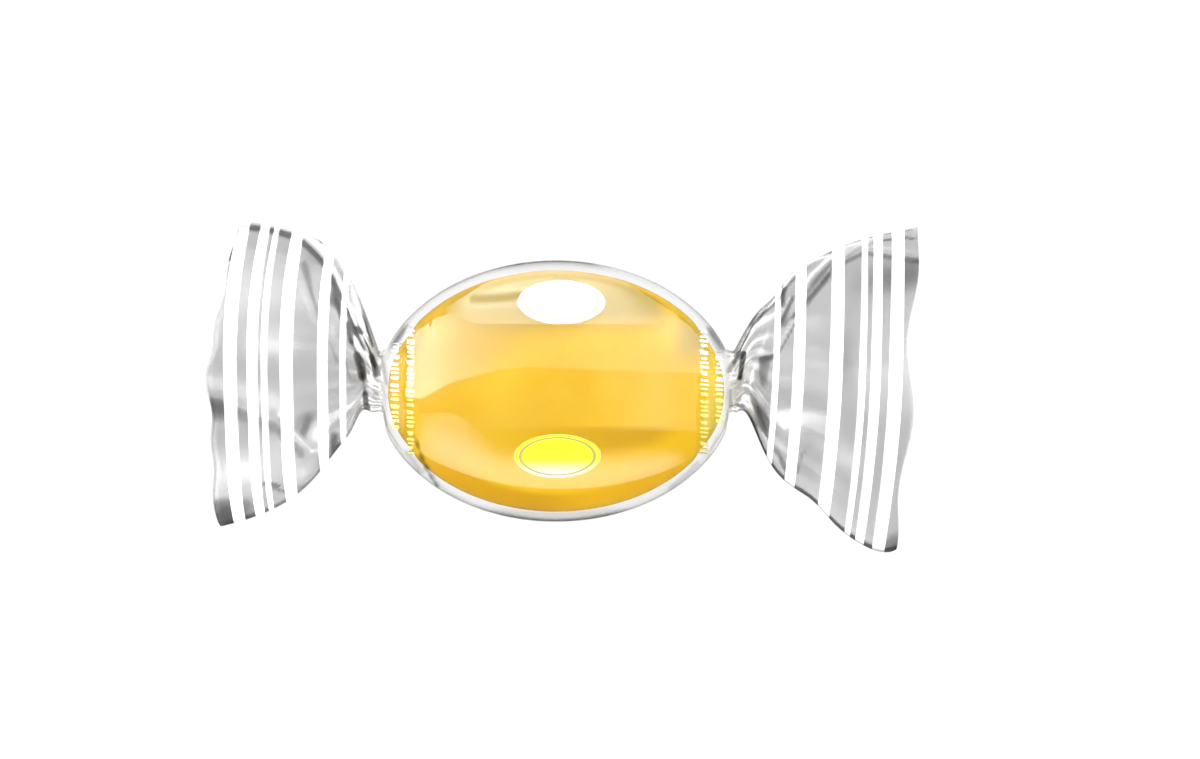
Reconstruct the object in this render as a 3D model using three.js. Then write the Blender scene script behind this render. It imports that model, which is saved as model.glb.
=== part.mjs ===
// A twist-wrapped hard candy that lies on its flatter side.
//
// The sweet is one oval, boiled-sugar body. Its wrapper is one tube of clear film: drawn round the sweet,
// pinched and twisted at both ends, and flaring from each twist into a pleated fan whose mouth stays open.
// The way through each twist is narrow, as in the real wrapper, which is twisted shut but not sealed.
//
// Millimetres. +X runs along the sweet, +Y across it and +Z up. The origin is on the table, under the
// middle of the sweet.

import * as THREE from "three";
import { ParametricGeometry } from "three/addons/geometries/ParametricGeometry.js";

// ---- Driving dimensions ----

const candyLength = 25.2;
const candyWidth = 18.1;
const candyHeight = 13.0;
const fullness = 0.4; // 0 makes the side view an oval, and more makes it flatter on top with blunter ends
const shoulderPlace = 10.6; // from the middle to the soft edge where each end of the sweet begins
const shoulderBlend = 0.5; // half the width of that edge
const shoulderDrop = 0.045; // share of its width that the sweet loses just outside the edge

const airGap = 0.45; // between the sweet and the film
const filmWall = 0.3; // the film's thickness here; real film is about 0.03 mm
const pressedFlat = 0.25; // depth of the flat that the sweet's weight presses into the film's underside
const floorWall = 0.2; // the film's thickness over that flat

const twistHalfWidth = 2.17; // half the width of the twist at its waist, across the sweet
const twistHalfHeight = 1.65; // half its height
const twistOffset = 0.7; // how far the twists lie to the +Y side of the middle
const twistWayRadius = 0.6; // the narrow way left through the twist
const twistRun = 0.65; // length over which the end of the body draws in to the twist
const bundleReach = 0.22; // share of a fan's length over which the bundle thins to a single wall

const strandCount = 8; // gathered strands round the twist
const strandDepth = 0.34; // from the floor of a groove to the top of a strand
const strandLean = 2.4; // radians that the strands turn between the waist and the mouth
const strandReach = 0.8; // share of a fan's length over which the strands die out
const strandRun = 3.2; // how far the strands run from the waist over the end of the body

const mouthHalfGap = 1.05; // half the height of a fan's open mouth
const gapReach = 0.6; // share of a fan's length over which the round twist flattens to that gap
const waveDepth = 1.25; // half the height of the fan's broad waves at the mouth
const waveOnset = 1.5; // power of the share of the length by which the waves grow
const edgeOnset = 3; // and by which the cut edge takes on its bulge and ripples
const lobeWidth = 0.28; // of the mouth's broad lobe, as a share of half the fan

// Each fan is bounded by two folds, drawn as cubic curves from the waist of the twist to the mouth.
const leftFan = {
  side: -1,
  upperFold: fold([-13.28, 2.87], [-15.53, 9.24], [-16.02, 12.61], [-23.18, 13.35]),
  lowerFold: fold([-13.28, -1.47], [-18.16, -4.63], [-16.76, -8.25], [-24.98, -10.12]),
  waveCount: 1.6, // half waves from the middle to a fold
  wavePhase: 0.9,
  mouthBulge: 1.45, // how far the cut edge bows out between the folds
  lobeDepth: 0.5, // and its one broad lobe in the middle
  rippleDepth: 0.12,
  rippleCount: 2.6,
  ripplePhase: 1.2,
};
const rightFan = {
  side: 1,
  upperFold: fold([13.35, 2.87], [17.11, 10.36], [19.4, 10.84], [27.08, 12.3]),
  lowerFold: fold([13.35, -1.47], [14.03, -3.16], [22.73, -13.77], [25.58, -11.92]),
  waveCount: 1.3,
  wavePhase: 2.6,
  mouthBulge: 0.15,
  lobeDepth: 0,
  rippleDepth: 0.36,
  rippleCount: 1.05,
  ripplePhase: 1.2,
};

// ---- Fineness of the faceted surfaces ----

const aroundSteps = 48; // facets round the wrapper
const fanSteps = 15; // rings from waist to mouth on each fan
const ringCrowding = 1.25; // above 1, the rings of a fan crowd towards the twist
const bodySteps = 24; // rings along the body
const candyAround = 40;
const candyAlong = 24;

// ---- Sizes worked out from those above ----

const sweet = { a: candyLength / 2, b: candyWidth / 2, c: candyHeight / 2 };
const rim = airGap + filmWall;
const film = { a: sweet.a + rim, b: sweet.b + rim, c: sweet.c + rim };
const pocket = { a: film.a - filmWall, b: film.b - filmWall, c: film.c - filmWall };
const middleHeight = film.c - pressedFlat;

function fold(...points) {
  return new THREE.CubicBezierCurve(...points.map(([x, y]) => new THREE.Vector2(x, y)));
}

// 0 before start, 1 after end, and a smooth turn between.
function ease(value, start, end) {
  return THREE.MathUtils.smoothstep(value, start, end);
}

// The height of the body's side view where its outline from above has this share of its width.
function heightShare(share) {
  return share * (1 + fullness * (1 - share));
}

// How far the gathered strands stand out from their mean, at an angle round the twist.
function strands(size, angle, turned) {
  return 0.5 * size * Math.cos(strandCount * angle + turned);
}

// ---- The wrapper: rings of points round the tube ----

// A ring of the fan. reach runs from 0 at the waist to 1 at the mouth, and inset is 0 on the outside of
// the film and the wall's thickness on its inside.
function fanRing(fan, reach, inset) {
  const upper = fan.upperFold.getPoint(reach);
  const lower = fan.lowerFold.getPoint(reach);
  const middle = upper.clone().add(lower).multiplyScalar(0.5);
  const halfSpan = upper.distanceTo(lower) / 2;
  const across = upper.clone().sub(lower).normalize();
  const halfGap = THREE.MathUtils.lerp(twistHalfHeight, mouthHalfGap, ease(reach, 0, gapReach));
  const strandSize = strandDepth * (1 - ease(reach, 0, strandReach));
  const turned = fan.side * strandLean * reach;

  return (angle) => {
    const standOut = strands(strandSize, angle, turned);
    const share = Math.cos(angle) * (1 + (standOut - inset) / halfSpan);
    const lift = Math.sin(angle) * (halfGap + standOut - inset);
    const bowed = fan.mouthBulge * Math.sqrt(Math.max(0, 1 - share * share));
    const lobe = fan.lobeDepth * Math.exp(-((share / lobeWidth) ** 2));
    const ripple = fan.rippleDepth * Math.cos(2 * Math.PI * fan.rippleCount * share + fan.ripplePhase);
    const outward = (bowed + lobe + ripple * (1 - share ** 4)) * reach ** edgeOnset;
    const wave = Math.sin(Math.PI * fan.waveCount * share + fan.wavePhase);
    return new THREE.Vector3(
      middle.x + across.x * halfSpan * share + fan.side * outward,
      middle.y + across.y * halfSpan * share,
      middleHeight + lift + waveDepth * reach ** waveOnset * wave,
    );
  };
}

// A ring of the body: an ellipse at one place along an oval with half axes size, pressed flat underneath.
// Towards endX it draws in to the twist, which is endHalfHeight high there.
function bodyRing(size, turn, floor, endX, endHalfHeight) {
  const x = -size.a * Math.cos(turn);
  const nearTwist = ease(Math.abs(x), film.a - twistRun, endX);
  const width = size.b * Math.sin(turn);
  const height = THREE.MathUtils.lerp(size.c * heightShare(Math.sin(turn)), endHalfHeight, nearTwist);
  const lean = twistOffset * nearTwist;
  const strandSize = strandDepth * ease(Math.abs(x), film.a - strandRun, film.a);

  return (angle) => {
    const standOut = strands(strandSize, angle, 0);
    return new THREE.Vector3(
      x,
      lean + (width + standOut) * Math.cos(angle),
      Math.max(floor, middleHeight + (height + standOut) * Math.sin(angle)),
    );
  };
}

// The film's thickness on a fan. At the waist it is the whole gathered bundle round the narrow way.
function fanWall(reach) {
  return THREE.MathUtils.lerp(twistHalfHeight - twistWayRadius, filmWall, ease(reach, 0, bundleReach));
}

// From the waist to the mouth of one fan.
function fanRings(fan, inside) {
  const rings = [];
  for (let step = 0; step <= fanSteps; step += 1) {
    const reach = (step / fanSteps) ** ringCrowding;
    rings.push(fanRing(fan, reach, inside ? fanWall(reach) : 0));
  }
  return rings;
}

// From the left end of the body to the right one. The rings stop where the oval is as narrow as the twist.
function bodyRings(size, endHalfWidth, endHalfHeight, floor) {
  const first = Math.asin(endHalfWidth / size.b);
  const endX = size.a * Math.cos(first);
  const rings = [];
  for (let step = 0; step <= bodySteps; step += 1) {
    const turn = THREE.MathUtils.lerp(first, Math.PI - first, step / bodySteps);
    rings.push(bodyRing(size, turn, floor, endX, endHalfHeight));
  }
  return rings;
}

// The tube's outside from the left mouth to the right one, and its inside back again, as one closed loop.
function wrapperGeometry() {
  const outside = [
    ...fanRings(leftFan, false).reverse(),
    ...bodyRings(film, twistHalfWidth, twistHalfHeight, 0),
    ...fanRings(rightFan, false),
  ];
  const inside = [
    ...fanRings(leftFan, true).reverse(),
    ...bodyRings(pocket, twistWayRadius, twistWayRadius, floorWall),
    ...fanRings(rightFan, true),
  ];
  const loop = [...outside, ...inside.reverse()];
  const surface = (around, along, target) => {
    const ring = loop[Math.round(along * loop.length) % loop.length];
    target.copy(ring(2 * Math.PI * around));
  };
  return new ParametricGeometry(surface, aroundSteps, loop.length);
}

// ---- The sweet: an oval whose two ends are a little slimmer beyond a soft shoulder ----

function candyGeometry() {
  const geometry = new THREE.SphereGeometry(1, candyAround, candyAlong).rotateZ(Math.PI / 2);
  const points = geometry.getAttribute("position");
  for (let i = 0; i < points.count; i += 1) {
    const ringShare = Math.hypot(points.getY(i), points.getZ(i));
    const fuller = 1 + fullness * (1 - ringShare);
    const x = points.getX(i) * sweet.a;
    const past = ease(Math.abs(x), shoulderPlace - shoulderBlend, shoulderPlace + shoulderBlend);
    const nearTip = ease(Math.abs(x), shoulderPlace + shoulderBlend, sweet.a);
    const slimmer = 1 - shoulderDrop * past * (1 - nearTip);
    points.setXYZ(i, x, points.getY(i) * sweet.b * slimmer, points.getZ(i) * sweet.c * slimmer * fuller);
  }
  return geometry.translate(0, 0, middleHeight);
}

// ---- Pieces ----

function candy() {
  const sugar = new THREE.MeshStandardMaterial({ color: 0xf5b921, roughness: 0.18, metalness: 0 });
  const mesh = new THREE.Mesh(candyGeometry(), sugar);
  mesh.name = "candy";
  return mesh;
}

function wrapper() {
  const clearFilm = new THREE.MeshStandardMaterial({
    color: 0xd4d7d9,
    roughness: 0.12,
    metalness: 0,
    transparent: true,
    opacity: 0.35,
    side: THREE.DoubleSide,
  });
  const mesh = new THREE.Mesh(wrapperGeometry(), clearFilm);
  mesh.name = "wrapper";
  return mesh;
}

const wrappedCandy = new THREE.Group();
wrappedCandy.add(candy(), wrapper());

export default wrappedCandy;
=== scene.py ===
# %% [markdown]
# # A twist-wrapped boiled sweet
#
# The real thing is one oval, cloudy amber sweet in a tube of clear film. A machine rolls the film round
# the sweet, grips both ends and turns them, so that the film gathers into a twist at each end and
# flares beyond it into a pleated fan. White stripes are printed across the fans, and small ovals round
# the middle of the tube.
#
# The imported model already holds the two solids, so every piece here takes its place and its size from
# it. Two finer pieces stand for them: the sweet, and the film with its print.

# %% Load the frame
import math

import bpy
import numpy as np
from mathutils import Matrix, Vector


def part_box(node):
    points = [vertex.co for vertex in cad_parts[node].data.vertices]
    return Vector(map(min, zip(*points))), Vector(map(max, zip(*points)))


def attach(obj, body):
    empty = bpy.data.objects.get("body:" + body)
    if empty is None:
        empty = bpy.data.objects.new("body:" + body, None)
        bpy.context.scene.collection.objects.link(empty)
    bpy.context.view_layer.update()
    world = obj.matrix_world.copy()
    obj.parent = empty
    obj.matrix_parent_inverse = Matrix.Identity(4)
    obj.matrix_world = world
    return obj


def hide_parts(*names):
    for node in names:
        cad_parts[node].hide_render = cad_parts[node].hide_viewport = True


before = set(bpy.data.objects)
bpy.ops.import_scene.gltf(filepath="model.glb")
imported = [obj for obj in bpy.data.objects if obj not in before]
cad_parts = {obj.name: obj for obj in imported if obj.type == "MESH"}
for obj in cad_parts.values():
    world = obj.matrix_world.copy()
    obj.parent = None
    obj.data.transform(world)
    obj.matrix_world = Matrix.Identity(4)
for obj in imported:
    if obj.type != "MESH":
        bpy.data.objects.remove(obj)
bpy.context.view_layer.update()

# %% [markdown]
# ## Sizes
#
# Lengths are in millimetres while the shapes are worked out, and are turned into metres once, when a
# mesh is made. The oval of the sweet comes from its solid, and the film lies a little outside it.

# %% Sizes of the sweet and of its film
MM = 0.001
low, high = (np.array(corner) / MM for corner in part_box("candy"))
SWEET = (high - low) / 2  # half the length, width and height
MIDDLE = (high + low) / 2  # the middle of the sweet above the table
RIM = 0.75  # from the sweet's surface to the outside of the film
FILM = SWEET + RIM
WALL = 0.05  # the film's thickness
print("half sizes of the sweet:", SWEET.round(2), "and of the film:", FILM.round(2))

# %% [markdown]
# ## The camera
#
# The photograph looks straight down on the sweet, from far enough away that nothing looks nearer than
# the rest. A long lens does the same. One pixel of the photograph is 0.075 mm at the sweet, whose
# middle lies left of the middle of the picture and a little below it.

# %% Put the camera straight above
PIXEL = 0.075
PICTURE = (1200, 759)
SWEET_PIXEL = (556, 391)
LENS = 200  # mm
SENSOR = 36  # mm across
CLIP = (0.01, 20)  # metres from the camera, between which things are drawn

view_width = PICTURE[0] * PIXEL
camera_x = (PICTURE[0] / 2 - SWEET_PIXEL[0]) * PIXEL
camera_y = (SWEET_PIXEL[1] - PICTURE[1] / 2) * PIXEL
camera_z = MIDDLE[2] + view_width * LENS / SENSOR

camera = bpy.data.objects.new("camera", bpy.data.cameras.new("camera"))
camera.data.lens = LENS
camera.data.sensor_width = SENSOR
camera.data.clip_start, camera.data.clip_end = CLIP
camera.location = (camera_x * MM, camera_y * MM, camera_z * MM)
bpy.context.scene.collection.objects.link(camera)
bpy.context.scene.camera = camera
print("camera in mm:", round(camera_x, 2), round(camera_y, 2), round(camera_z, 1))

# %% [markdown]
# ## From a grid of points to a mesh
#
# Every shape below is a surface with two parameters: one runs along the sweet and the other runs
# round it. A grid of points over the two, joined into four-sided faces, is the mesh. All points are
# worked out at once, as arrays, so there is no loop over them.


# %% Helpers for curves and grids
def ease(value, start, end):
    """0 before start and 1 after end, with t*t*(3 - 2*t) between, where t runs evenly from 0 to 1."""
    t = np.clip((value - start) / (end - start), 0, 1)
    return t * t * (3 - 2 * t)


def blend(a, b, share):
    """a where share is 0 and b where it is 1: a + (b - a)*share."""
    return a + (b - a) * share


def cubic(points, t):
    """A cubic curve: (1-t)^3*P0 + 3(1-t)^2*t*P1 + 3(1-t)*t^2*P2 + t^3*P3, as its x and its y."""
    p = np.array(points)
    weights = ((1 - t) ** 3, 3 * (1 - t) ** 2 * t, 3 * (1 - t) * t**2, t**3)
    return [sum(w * p[i, axis] for i, w in enumerate(weights)) for axis in (0, 1)]


def closed_grid_faces(rings, around, close_rings):
    """Faces between neighbouring rings of a grid. Each ring closes on itself, and the last ring joins
    the first one where close_rings says so."""
    ring = np.arange(rings if close_rings else rings - 1)[:, None]
    step = np.arange(around)[None, :]
    here, there = ring * around, (ring + 1) % rings * around
    following = (step + 1) % around
    return np.stack([here + step, here + following, there + following, there + step], -1).reshape(-1, 4)


def make_piece(name, points, faces):
    """A smooth mesh object from points in millimetres and faces as lists of point numbers."""
    mesh = bpy.data.meshes.new(name)
    mesh.from_pydata((points.reshape(-1, 3) * MM).tolist(), [], faces)
    mesh.validate()
    mesh.shade_smooth()
    piece = bpy.data.objects.new(name, mesh)
    bpy.context.scene.collection.objects.link(piece)
    triangles = len(mesh.loops) - 2 * len(mesh.polygons)
    print(f"{name}: {len(mesh.vertices)} points, {triangles} triangles")
    return piece


# %% [markdown]
# ## The sweet
#
# The sweet was pressed from hot sugar. Seen from above it is an oval, and its side view is fuller than
# an oval, with a flatter back. Past a soft shoulder near each end it is a little slimmer. A ball from the
# menu, stretched to the three half sizes, would be close, but too slim from the side. So its rings are
# worked out here, and each is made fuller or slimmer by a formula.

# %% The sweet's surface
FULLNESS = 0.4  # 0 makes the side view an oval
SHOULDER = 10.6  # from the middle to each shoulder
SHOULDER_BLEND = 0.35  # half the width of its soft edge
SHOULDER_DROP = 0.045  # share of its width that the sweet loses past it


def height_share(width_share):
    """How high a ring is, as a share of the middle one, where it has this share of the full width:
    w*(1 + fullness*(1 - w))."""
    return width_share * (1 + FULLNESS * (1 - width_share))


def sweet_surface(turn, angle):
    """x = -a*cos(turn), and round the ring y = b*sin(turn)*slim*cos(angle) and z = c*height*slim*
    sin(angle), where slim is just under 1 beyond the shoulders."""
    x = -SWEET[0] * np.cos(turn)
    past = ease(abs(x), SHOULDER - SHOULDER_BLEND, SHOULDER + SHOULDER_BLEND)
    near_tip = ease(abs(x), SHOULDER + SHOULDER_BLEND, SWEET[0])
    slim = 1 - SHOULDER_DROP * past * (1 - near_tip)
    y = SWEET[1] * slim * np.sin(turn) * np.cos(angle)
    z = SWEET[2] * slim * height_share(np.sin(turn)) * np.sin(angle)
    return np.stack([x + 0 * y, y, MIDDLE[2] + z], -1)


# %% Close its two tips and make it a piece
SWEET_ROUND, SWEET_ALONG = 192, 140  # points in a ring, and steps from tip to tip
sweet_turn = np.linspace(0, np.pi, SWEET_ALONG + 1)[1:-1, None]
sweet_angle = np.linspace(0, 2 * np.pi, SWEET_ROUND, endpoint=False)[None, :]
sweet_rings = sweet_surface(sweet_turn, sweet_angle)
tips = MIDDLE + np.array([[-SWEET[0], 0, 0], [SWEET[0], 0, 0]])

this_step = np.arange(SWEET_ROUND)
next_step = (this_step + 1) % SWEET_ROUND
left_tip = sweet_rings.shape[0] * SWEET_ROUND
last_ring = left_tip - SWEET_ROUND
left_cap = np.stack([np.full(SWEET_ROUND, left_tip), next_step, this_step], -1)
right_cap = np.stack([np.full(SWEET_ROUND, left_tip + 1), last_ring + this_step, last_ring + next_step], -1)
sides = closed_grid_faces(len(sweet_rings), SWEET_ROUND, False)
sweet = make_piece(
    "boiled_sweet",
    np.vstack([sweet_rings.reshape(-1, 3), tips]),
    [*sides.tolist(), *left_cap.tolist(), *right_cap.tolist()],
)

# %% [markdown]
# ## The film
#
# The film is one long tube. A sheet could be twisted round the sweet by a simulation, but its folds would
# fall where they like. One grid can cover the whole tube instead: its rings run from the left mouth to
# the twist, over the sweet, through the other twist and out to the right mouth. Two folds bound each fan,
# drawn after the photograph's outline as cubic curves. Between the folds the tube is almost flat.

# %% The two fans, in millimetres
TWIST_HALF_WIDTH = 2.17  # at its waist
TWIST_HALF_HEIGHT = 1.65
TWIST_OFFSET = 0.7  # how far the twists lie to the +Y side of the middle
TWIST_RUN = 0.65  # length over which the end of the body draws in to the twist
MOUTH_HALF_GAP = 1.05
GAP_REACH = 0.6  # share of a fan's length over which the twist flattens to that gap
WAVE_DEPTH = 1.25  # half the height of the broad waves at the mouth
WAVE_ONSET = 1.5  # power of the reach by which they grow
EDGE_ONSET = 3  # and by which the cut edge takes on its bulge and ripples
LOBE_WIDTH = 0.28  # of the mouth's broad lobe, as a share of half the fan
FRONT_EDGE = 0.3  # sine of the angle round the tube over which the folds of the front come in

LEFT_FAN = dict(
    side=-1,
    upper=((-13.28, 2.87), (-15.53, 9.24), (-16.02, 12.61), (-23.18, 13.35)),
    lower=((-13.28, -1.47), (-18.16, -4.63), (-16.76, -8.25), (-24.98, -10.12)),
    wave_count=1.6,  # half waves from the middle to a fold
    wave_phase=0.9,
    bulge=1.45,  # how far the cut edge bows out between the folds
    lobe=0.5,
    ripple=(0.12, 2.6, 1.2),  # depth, count and phase
    upper_tucks=(),
    lower_tucks=((0.095, 0.06, 0.95),),  # reach, size and depth
)
RIGHT_FAN = dict(
    side=1,
    upper=((13.35, 2.87), (17.11, 10.36), (19.4, 10.84), (27.08, 12.3)),
    lower=((13.35, -1.47), (14.03, -3.16), (22.73, -13.77), (25.58, -11.92)),
    wave_count=1.3,
    wave_phase=2.6,
    bulge=0.15,
    lobe=0.0,
    ripple=(0.36, 1.05, 1.2),
    upper_tucks=((0.28, 0.1, -0.6), (0.6, 0.15, -0.3)),
    lower_tucks=((0.17, 0.1, 1.25), (0.36, 0.09, -0.4), (0.55, 0.08, 0.4)),
)

# %% [markdown]
# A gathered sheet has round ridges and sharp grooves between them, like the folds of a curtain that is
# tied back. A bump in the material would look flat from the side, so they are in the surface. The curve
# 2*|cos(t/2)| - 1 has their form. At the twist the ridges are strands that turn round the tube, and on
# the fan they become pleats that spread from the twist and soften towards the mouth.

# %% Strands and pleats
STRANDS = ((8, 0.13, 0.4), (19, 0.05, 1.3))  # how many round the tube, half their depth, where they start
STRAND_RUN = 3.2  # how far they run from the waist over the end of the body
STRAND_LEAN = 2.4  # radians that they turn between the waist and the mouth
STRAND_REACH = 0.32  # share of a fan's length over which they die out at its upper fold
LOWER_STRANDS = 0.5  # and how much of that they reach at its lower fold
STRAND_CHANGE = (-0.3, 0.4)  # shares of the fan's half span between which that changes
PLEATS = ((1.7, 0.16, 0.6, 0.6), (3.9, 0.07, 2.0, 0.35))  # count, depth, where they start, and their peak
PLEAT_LEAN = 0.7  # radians by which the pleats of the front and the back are apart


def gathered(t):
    """2*|cos(t/2)| - 1: round ridges at 1 and sharp grooves at -1."""
    return 2 * abs(np.cos(t / 2)) - 1


def strands(angle, turned, strength):
    """The sum of depth*gathered(count*angle + start + turned) over the kinds of strand, times strength."""
    return strength * sum(d * gathered(n * angle + start + turned) for n, d, start in STRANDS)


def pleats(share, lean, reach):
    """The sum of depth*gathered(2*pi*count*share + start + lean) over the kinds of pleat. Each kind is
    deepest where reach is peak, by the weight q*exp(1 - q) with q = (reach/peak)^2."""
    total = 0
    for count, depth, start, peak in PLEATS:
        q = (reach / peak) ** 2
        total = total + depth * q * np.exp(1 - q) * gathered(2 * np.pi * count * share + start + lean)
    return total


# %% [markdown]
# Each fan also has a few single folds, where the film was laid over on itself as it was gripped. Each
# could be cut into the mesh by hand, but a line and a step say all of it. On one side of the line the film
# stands a little higher, and in its shelter lies a thin dark line of painted shade. tone is kept for the
# finish: below 0 the film is painted darker, as shade, and above 0 it is painted paler, as light.

# %% The folds of each fan: where each runs, its step and its width in mm, and how dark and pale it is painted
FOLD_PAST, FOLD_BEFORE = 0.05, 0.1  # of the reach, over which a fold fades past its ends and before them
FOLD_SETTLE = 5  # widths over which the step dies out
PALE_AT, PALE_WIDTH = 2, 1.5  # widths from the line to the middle of its pale bell, and the bell's size


def fold(reach, share, step, width, dark, pale):
    """One fold: its line through the points (reach, share), and the four values above."""
    return dict(reach=reach, share=share, step=step, width=width, dark=dark, pale=pale)


LEFT_FAN["folds"] = (
    fold((0.1, 0.39, 0.59, 0.76, 1.0), (0.45, 0.7, 0.85, 0.93, 0.93), 0.3, 0.28, 1.1, 0.8),
    fold((0.0, 0.15, 0.4), (0.05, 0.25, 0.45), 0.16, 0.2, 0.1, 0.3),
    fold((0.0, 0.19, 0.3), (0.5, 0.66, 0.75), 0.1, 0.16, 0.1, 0.3),
    fold((0.35, 0.59, 0.78, 1.0), (-0.95, -0.76, -0.4, -0.2), 0.12, 0.7, 0.4, 0.6),
    fold((0.6, 0.75, 0.85), (-0.97, -0.9, -0.78), 0.05, 0.2, 0.6, 0.0),
)
RIGHT_FAN["folds"] = (
    fold((0.15, 0.35, 0.5, 0.65, 0.8, 1.0), (0.05, 0.3, 0.67, 0.88, 0.92, 0.8), 0.25, 0.22, 0.6, 0.5),
    fold((0.0, 0.14, 0.32, 0.55), (0.7, 0.88, 0.9, 0.97), 0.15, 0.2, 0.5, 0.4),
    fold((0.05, 0.26, 0.4, 0.7), (-0.35, -0.62, -0.5, -0.3), 0.12, 0.5, 0.3, 0.5),
)

# %% Soft shades painted where the film bends away, and pale ones painted light: reach, share, their half sizes in both, and the tone
LEFT_FAN["shades"] = (
    (0.68, 0.76, 0.1, 0.14, -0.15),
    (0.49, 0.6, 0.05, 0.08, -0.4),
    (1.0, -0.23, 0.09, 0.11, -0.5),
    (1.0, -0.93, 0.12, 0.1, -0.7),
    (0.62, -0.48, 0.09, 0.1, -0.5),
    (0.8, 0.14, 0.16, 0.16, 0.5),
    (0.91, -0.68, 0.1, 0.12, 0.45),
    (0.62, -0.86, 0.12, 0.09, 0.5),
    (0.18, -0.4, 0.08, 0.25, 0.4),
    (0.46, 0.33, 0.07, 0.1, 0.45),
)
RIGHT_FAN["shades"] = (
    (0.95, 0.72, 0.2, 0.13, -0.38),
    (0.37, 0.54, 0.05, 0.08, -0.3),
    (0.97, -0.96, 0.1, 0.08, -0.42),
    (0.7, 0.2, 0.1, 0.4, -0.25),
    (0.21, 0.77, 0.08, 0.08, 0.6),
    (0.39, -0.43, 0.1, 0.12, 0.5),
    (0.56, -0.45, 0.1, 0.15, 0.35),
    (0.72, -0.47, 0.1, 0.14, 0.45),
    (0.28, -0.86, 0.08, 0.1, 0.4),
    (0.56, 0.45, 0.1, 0.25, 0.3),
)
# painted tone along the fan's edges: shade below 0, light above 0
LEFT_FAN["edges"] = ((0.9, 0.5), (-0.45, 0.26))  # tone and width in mm, along the upper and the lower fold
RIGHT_FAN["edges"] = ((0.5, 0.32), (-1.2, 0.26))
EDGE_START = (0.08, 0.3)  # reach over which the edges' tone begins
for fan in (LEFT_FAN, RIGHT_FAN):
    print("fan on side", fan["side"], "has", len(fan["folds"]), "folds and", len(fan["shades"]), "shades")


def folds(fan, share, reach, half_span, front):
    """The lift and the tone of a fan's folds. d is the distance in mm from the fold's line. The lift is
    step*ease(d), dying out beyond the line. The tone is painted shade and light: a dark bell
    exp(-(d/width)^2) before the step, and a wider pale bell after it."""
    lift, tone = 0, 0
    for laid in fan["folds"]:
        d = (share - np.interp(reach, laid["reach"], laid["share"])) * half_span
        first, last, width = laid["reach"][0], laid["reach"][-1], laid["width"]
        ends = 1
        if first > 0:
            ends = ease(reach, first - FOLD_PAST, first + FOLD_BEFORE)
        if last < 1:
            ends = ends * (1 - ease(reach, last - FOLD_BEFORE, last + FOLD_PAST))
        beyond = np.exp(-np.clip(d, 0, None) / (FOLD_SETTLE * width))
        lift = lift + laid["step"] * ease(d, -width / 2, width / 2) * beyond * ends * front
        before = np.exp(-((np.where(d < 0, d + width / 2, 2 * d + width / 2) / width) ** 2))
        after = np.exp(-(((d - PALE_AT * width) / (PALE_WIDTH * width)) ** 2))
        tone = tone + (laid["pale"] * after - laid["dark"] * before) * ends * front
    return lift, tone


def soft_tones(fan, share, reach, half_span):
    """The painted soft shades and lights, each a bell exp(-(reach part)^2 - (share part)^2), and the painted
    tone along both edges.
    """
    tone = 0
    for at_reach, at_share, reach_size, share_size, strength in fan["shades"]:
        spread = ((reach - at_reach) / reach_size) ** 2 + ((share - at_share) / share_size) ** 2
        tone = tone + strength * np.exp(-spread)
    for side, (strength, width) in zip((1, -1), fan["edges"]):
        edge = np.exp(-(((1 - side * share) * half_span / width) ** 2))
        tone = tone + strength * edge * ease(reach, *EDGE_START)
    return tone


# %% The surface of a fan
def tucked(reach, tucks):
    """How far a fold is drawn in: a bell depth*exp(-((reach - at)/size)^2) for each tuck."""
    return sum(depth * np.exp(-(((reach - at) / size) ** 2)) for at, size, depth in tucks)


def fan_surface(fan, reach, angle):
    """Points at share = cos(angle) between the two curves, lifted by sin(angle)*gap, the waves
    sin(pi*count*share + phase)*reach^onset, the pleats and the folds. The tone is a fourth column."""
    ux, uy = cubic(fan["upper"], reach)
    lx, ly = cubic(fan["lower"], reach)
    uy = uy + tucked(reach, fan["upper_tucks"])
    ly = ly + tucked(reach, fan["lower_tucks"])
    half_span = np.hypot(ux - lx, uy - ly) / 2
    across_x, across_y = (ux - lx) / (2 * half_span), (uy - ly) / (2 * half_span)
    gap = blend(TWIST_HALF_HEIGHT, MOUTH_HALF_GAP, ease(reach, 0, GAP_REACH))

    upper_side = ease(np.cos(angle), *STRAND_CHANGE)
    strength = 1 - ease(reach, 0, STRAND_REACH * blend(LOWER_STRANDS, 1, upper_side))
    stand_out = strands(angle, fan["side"] * STRAND_LEAN * reach, strength)
    share = np.cos(angle) * (1 + stand_out / half_span)
    lift = np.sin(angle) * (gap + stand_out)

    bowed = fan["bulge"] * np.sqrt(np.clip(1 - share**2, 0, 1))
    lobe = fan["lobe"] * np.exp(-((share / LOBE_WIDTH) ** 2))
    depth, count, phase = fan["ripple"]
    ripple = depth * np.cos(2 * np.pi * count * share + phase) * (1 - share**4)
    outward = fan["side"] * (bowed + lobe + ripple) * reach**EDGE_ONSET

    wave = WAVE_DEPTH * reach**WAVE_ONSET * np.sin(np.pi * fan["wave_count"] * share + fan["wave_phase"])
    pleated = pleats(share, PLEAT_LEAN * np.sin(angle), reach)
    front = ease(np.sin(angle), 0, FRONT_EDGE)
    folded, tone = folds(fan, share, reach, half_span, front)
    tone = tone + soft_tones(fan, share, reach, half_span)
    x = (ux + lx) / 2 + across_x * half_span * share + outward
    y = (uy + ly) / 2 + across_y * half_span * share
    return np.stack([x, y, MIDDLE[2] + lift + wave + pleated + folded, tone + 0 * x], -1)


# %% The surface of the body
first_turn = math.asin(TWIST_HALF_WIDTH / FILM[1])  # where the oval is as narrow as the twist
print("the body ends", round(FILM[0] * math.cos(first_turn), 2), "mm from its middle")


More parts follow.
